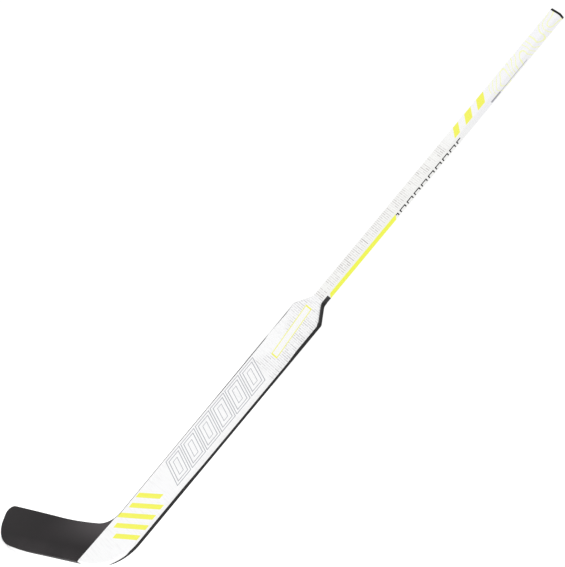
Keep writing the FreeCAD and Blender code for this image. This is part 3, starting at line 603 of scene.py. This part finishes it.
# Edge bands: strips of black laminate between the lips of the two shells, one down the toe side to the
# throat, one down the heel side, round the heel and along the sole. They are bonded in and lie flush.
SANDING, SANDING_DEPTH = 2.5, 0.1  # mm; the marks of fine paper are finer, drawn coarser so that they show
BAND_COLUMNS = 6

# Carbon laminate, sanded and satin sealed: deep black, rubbed grey in places, with a soft edge light; on the
# heel side the white lacquer laps over it as far as the line where the black begins
black, tree, shader, place = new_material("satin_black_laminate")
x, y, z = add_node(tree, "SeparateXYZ", {}, {0: place}).outputs
grain = add_node(tree, "TexNoise", {"Scale": 1 / SANDING, "Detail": 3.0}, {"Vector": place}).outputs["Fac"]
blacks = {"data_type": "RGBA", 6: linear("#0C0C0D"), 7: linear("#161617")}
paint = add_node(tree, "Mix", blacks, {0: grain}).outputs[2]
greyed = add_node(tree, "MapRange", {"From Min": 0.55, "From Max": 0.7, "To Max": 0.3}, {"Value": grain})
paint = lay_over(tree, paint, "#4B4A4A", share=greyed.outputs[0])
before_black = (past_line(tree, y, z, BLACK_LINE), -LAP_REACH, LAP_REACH)
for side in ((x, SIDE_MIDDLE, LAP_REACH), (z, HEEL.imag - LAP_REACH, 2 * LAP_REACH)):
    paint = lay_over(tree, paint, WHITE, before_black, side)
rough = add_node(tree, "MapRange", {"To Min": 0.4, "To Max": 0.55}, {"Value": grain}).outputs[0]
sanded = add_node(tree, "Bump", {"Strength": 0.1, "Distance": SANDING_DEPTH * MM}, {"Height": grain})
surface(tree, shader, paint, rough, sanded.outputs[0], specular=0.2)

band_level = np.linspace(BAND_BACK, BAND_FRONT, BAND_COLUMNS)
for name, slot, edge in (("heel_edge_band", "heel_band", heel_edge), ("toe_edge_band", "toe_band", toe_edge)):
    loops = []
    for inset in (0.0, EDGE_WALL):
        plan = paddle_run(edge, np.array([inset])) * np.ones(BAND_COLUMNS)
        loops.append(np.stack([plan.real, band_level + 0 * plan.real, plan.imag], -1))
    piece = add_piece(name + "_sealed", *closed_loop(walled(*loops)), black)
    stand_for(piece, name)

# Shaft: a hollow laminate tube of rounded rectangular section, with a narrower spigot that is glued between
# the paddle's webs. It is lacquered white, with dashes and bars on its faces and stripes down its edges.
SHAFT_HALF, BORE_HALF = (SHAFT_SIDE, FACE_Y, 4.0), (12.45, 7.45, 2.2)  # mm: half width and depth, corner
SPIGOT_HALF, SPIGOT_BORE = (11.05, 7.95, 2.6), (9.05, 5.95, 1.3)
SHAFT_TOP, BORE_END, SPIGOT_END = 734.0, 8.0, -110.0
SHAFT_ROWS, CORNER_POINTS = 25, 9


def rounded_section(half_x, half_y, radius):
    """Closed rounded rectangle: four quarter circles about the corners' centres, joined by straights."""
    angle = np.linspace(0, np.pi / 2, CORNER_POINTS) + np.arange(4)[:, None] * np.pi / 2
    centres = np.array([(1, 1), (-1, 1), (-1, -1), (1, -1)]) * (half_x - radius, half_y - radius)
    circle = np.stack([np.cos(angle), np.sin(angle)], -1)
    return (centres[:, None] + radius * circle).reshape(-1, 2)


# Polyester lacquer, sprayed and clear-coated: glossy white, a little cooler towards the butt
shaft_paint, tree, shader, place = new_material("white_lacquer_shaft_print")
x, y, z = add_node(tree, "SeparateXYZ", {}, {0: place}).outputs
COOL_START, COOL_FULL = 350.0, 560.0  # mm up the shaft where the white begins to turn cooler, and has turned
cool = add_node(tree, "MapRange", {
    "interpolation_type": "SMOOTHSTEP", "From Min": COOL_START, "From Max": COOL_FULL}, {"Value": z})
whites = {"data_type": "RGBA", 6: linear("#EFEFED"), 7: linear("#EEEEF1")}
colour = add_node(tree, "Mix", whites, {0: cool.outputs[0]}).outputs[2]
# Dashes on the two broad faces, thinned out by a slow noise and gone above the middle
SHAFT_DASH, PATCH, FACE_HALF = 27.0, 40.0, 11.5  # mm, a dash's length, a patch's size, half the face's width
DASH_TOP, DASH_SOLID = 405.0, 375.0              # heights where the dashes end, and where they are full
fade = add_node(tree, "MapRange", {
    "interpolation_type": "SMOOTHSTEP", "From Min": DASH_TOP, "From Max": DASH_SOLID}, {"Value": z})
slow = add_node(tree, "TexNoise", {"Scale": 1 / PATCH}, {"Vector": place}).outputs["Fac"]
patch = add_node(tree, "MapRange", {"From Min": 0.3, "From Max": 0.7, "To Min": 0.5, "To Max": 1.0},
                 {"Value": slow})
dashes = dash_rows(tree, x, z, SHAFT_DASH, "#4A4A4A")
colour = lay_over(tree, colour, "#ABA6A5", (x, 0.0, FACE_HALF),
                  share=together(tree, fade.outputs[0], patch.outputs[0], dashes))
# Contour lines: pale yellow level lines of a slow noise, on the upper shaft
HILL, LEVELS = 55.0, 11.0               # mm across a hill of the noise, and levels in all
HILL_SLICE = 3.0                        # where the noise is cut through its fourth dimension
LINE_HALF = 0.1                         # half a line's width, as a share of one level
CONTOUR_Z, CONTOUR_HALF = 631.0, 103.0  # heights of the lines, middle and half
relief = add_node(tree, "TexNoise", {
    "noise_dimensions": "4D", "W": HILL_SLICE, "Scale": 1 / HILL, "Detail": 0.0}, {"Vector": place})
levels = add_node(tree, "Math", {"operation": "MULTIPLY", 1: LEVELS}, {0: relief.outputs["Fac"]})
level = add_node(tree, "Math", {"operation": "FRACT"}, {0: levels.outputs[0]}).outputs[0]
colour = lay_over(tree, colour, PALE_YELLOW, (level, 0.5, LINE_HALF), (z, CONTOUR_Z, CONTOUR_HALF))
# Slanted yellow bars on the faces
FACE_SLOPE, FACE_X = 0.7, -1.0  # how far they lean, and where their middles are
SHAFT_BARS = ((429.0, 8.0), (466.0, 10.0), (504.0, 11.0))  # mm: height and half the height of each
face_lean = leaning(tree, z, x, FACE_SLOPE)
for height, half in SHAFT_BARS:
    colour = lay_over(tree, colour, YELLOW, (face_lean, height, half), (x, FACE_X, FACE_HALF))
# The narrow sides: a yellow stripe, black up from the paddle, a row of black steps and two grey marks. Each
# mark is given across the side and along it, by its middle and half its size
STRIPE_YELLOW, STRIPE_Y, STRIPE_Z, STRIPE_SLOPE = "#F0F44C", (2.2, 7.6), (118.0, 102.0), 0.6
FOOT_Y, FOOT_Z, FOOT_LAP = (1.5, 7.9), (0.0, 13.0), 0.9  # the black foot laps a little over the corners
STEP_TURN, STEPS_Z = 11.0, (322.0, 100.0)                # the steps turn back after each run of 11 mm
STEP_MARKS = (((-2.6, 1.5), (0.0, 8.6)), ((0.9, 3.6), (7.2, 1.4)))
GREY_MARKS = (("#B9BAC0", (2.1, 1.2), (585.0, 42.0)), ("#9C9CA4", (2.1, 2.4), (530.0, 14.0)))
SIDE, SIDE_HALF = 16.0, 3.0  # mm, the band of distances from the axis that holds the narrow sides
out = add_node(tree, "Math", {"operation": "ABSOLUTE"}, {0: x}).outputs[0]
on_side, on_foot = (out, SIDE, SIDE_HALF), (out, SIDE, SIDE_HALF + FOOT_LAP)
side_lean = leaning(tree, z, y, STRIPE_SLOPE)
steps = add_node(tree, "Math", {"operation": "PINGPONG", 1: STEP_TURN}, {0: z}).outputs[0]
colour = lay_over(tree, colour, STRIPE_YELLOW, on_side, (y, *STRIPE_Y), (side_lean, *STRIPE_Z))
colour = lay_over(tree, colour, BLACK, on_foot, (y, *FOOT_Y), (z, *FOOT_Z))
for mark_y, mark_step in STEP_MARKS:
    colour = lay_over(tree, colour, BLACK, on_side, (y, *mark_y), (z, *STEPS_Z), (steps, *mark_step))
for ink, mark_y, mark_z in GREY_MARKS:
    colour = lay_over(tree, colour, ink, on_side, (y, *mark_y), (z, *mark_z))
# The clear coat is scuffed along the four corners, where both distances from the axis add up to the most
CORNER_START, CORNER_FULL = 20.6, 21.6  # mm, that sum where the scuffs begin, and where they are full
deep = add_node(tree, "Math", {"operation": "ABSOLUTE"}, {0: y}).outputs[0]
at_edge = add_node(tree, "MapRange", {"From Min": CORNER_START, "From Max": CORNER_FULL},
                   {"Value": leaning(tree, out, deep, 1.0)})
clear_coat(tree, shader, place, colour, at_edge.outputs[0])

stations = [(SPIGOT_END, SPIGOT_HALF), (0.0, SPIGOT_HALF), (0.0, SHAFT_HALF)]
stations += [(height, SHAFT_HALF) for height in np.linspace(0, SHAFT_TOP, SHAFT_ROWS)[1:]]
stations += [(SHAFT_TOP, BORE_HALF), (BORE_END, BORE_HALF)]
stations += [(BORE_END, SPIGOT_BORE), (SPIGOT_END, SPIGOT_BORE)]
rings = np.stack([np.insert(rounded_section(*half), 2, height, axis=1) for height, half in stations])
number = np.arange(rings.shape[0] * rings.shape[1]).reshape(rings.shape[:2])
ahead, beside = np.roll(number, -1, axis=0), np.roll(number, -1, axis=1)
quads = np.stack([number, beside, np.roll(ahead, -1, axis=1), ahead], -1).reshape(-1, 4)
piece = add_piece("shaft_tube_lacquered", rings.reshape(-1, 3), quads.tolist(), shaft_paint)
stand_for(piece, "shaft_tube")

# End cap: a plug moulded in black rubber, pushed into the butt of the shaft, where the ribs on its shank
# hold it. Its rounded flange is flush with the shaft.
SPARK, SPARK_DEPTH = 0.8, 0.1  # mm, grain of the mould's spark-eroded face
RUBBED_TOP = 1.2               # mm of the flange, from its end, that floor and glove rub

# Rubber, moulded: dull black with the mould's fine spark-eroded texture
rubber, tree, shader, place = new_material("black_rubber_moulded")
z = add_node(tree, "SeparateXYZ", {}, {0: place}).outputs["Z"]
spark = add_node(tree, "TexNoise", {"Scale": 1 / SPARK, "Detail": 4.0}, {"Vector": place}).outputs["Fac"]
blacks = {"data_type": "RGBA", 6: linear("#101011"), 7: linear("#1C1C1E")}
paint = add_node(tree, "Mix", blacks, {0: spark}).outputs[2]
cap_top = cad_box[1].z / MM
worn = add_node(tree, "MapRange", {"From Min": cap_top - RUBBED_TOP, "From Max": cap_top, "To Max": 0.35},
                {"Value": z})
paint = lay_over(tree, paint, "#5A5957", share=together(tree, worn.outputs[0], spark))
matt = add_node(tree, "MapRange", {"To Min": 0.7, "To Max": 0.88}, {"Value": spark}).outputs[0]
pitted = add_node(tree, "Bump", {"Strength": 0.3, "Distance": SPARK_DEPTH * MM}, {"Height": spark}).outputs[0]
surface(tree, shader, paint, matt, pitted, specular=0.2)
dress(rubber, "end_cap")

# Studio: a pale floor under the toe, an even white tent all round, and one broad soft key light
TENT, BACKDROP = 0.805, 1.03  # brightness of the tent as it lights the part, and as it is seen behind it
FLOOR_HALF, FLOOR_GLOW = 12000.0, 0.48  # mm; the floor is lit from below, so that the ground stays clear
KEY_PLACE, KEY_SIZE, KEY_POWER = Vector((-2.4, -3.0, 1.2)), 2.5, 10  # metres and watts
scene = bpy.context.scene
scene.view_settings.view_transform = "Standard"
world = bpy.data.worlds.new("light_tent")
world.use_nodes = True
tree = world.node_tree
seen = add_node(tree, "LightPath").outputs["Is Camera Ray"]
glow = add_node(tree, "MapRange", {"To Min": TENT, "To Max": BACKDROP}, {"Value": seen})
tree.nodes["Background"].inputs["Color"].default_value = linear("#FFFFFF")
tree.links.new(glow.outputs[0], tree.nodes["Background"].inputs["Strength"])
scene.world = world

paper, tree, shader, place = new_material("white_studio_paper")
for socket, value in (("Base Color", linear("#FFFFFF")), ("Roughness", 0.9),
                      ("Emission Color", linear("#FFFFFF")), ("Emission Strength", FLOOR_GLOW)):
    shader.inputs[socket].default_value = value
corners = np.array([(-1, -1, 0), (1, -1, 0), (1, 1, 0), (-1, 1, 0)]) * FLOOR_HALF + (0, 0, cad_box[0].z / MM)
add_piece("studio_floor", corners, [[0, 1, 2, 3]], paper)

key = bpy.data.objects.new("key", bpy.data.lights.new("key", "AREA"))
scene.collection.objects.link(key)
key.data.size = KEY_SIZE
key.data.energy = KEY_POWER
key.matrix_world = Matrix.Translation(KEY_PLACE) @ KEY_PLACE.to_track_quat("Z", "Y").to_matrix().to_4x4()

# Camera: square to the shaft at 42 degrees from the back face, rolled so that the stick runs corner to corner
TURN, ROLL = math.radians(41.9566), math.radians(39.6728)
DISTANCE, PIXELS_PER_MM = 4390.0, 0.502417
ASIDE, BELOW = 77.978, 25.9985  # mm from the shaft's axis and from the neck to the middle of the view
IMAGE_WIDTH, SENSOR, CLIP_END = 565, 36.0, 100.0  # pixels, mm and metres
outward = Vector((math.sin(TURN), -math.cos(TURN), 0))
level_right = Vector((math.cos(TURN), math.sin(TURN), 0))
right = level_right * math.cos(ROLL) + Vector((0, 0, math.sin(ROLL)))
up = outward.cross(right)
camera = bpy.data.objects.new("camera", bpy.data.cameras.new("camera"))
scene.collection.objects.link(camera)
stand = outward * DISTANCE - level_right * ASIDE - Vector((0, 0, BELOW))
camera.matrix_world = Matrix.Translation(stand * MM) @ Matrix((right, up, outward)).transposed().to_4x4()
camera.data.sensor_fit = "HORIZONTAL"
camera.data.sensor_width = SENSOR
camera.data.lens = PIXELS_PER_MM * DISTANCE * SENSOR / IMAGE_WIDTH
camera.data.clip_end = CLIP_END
scene.camera = camera
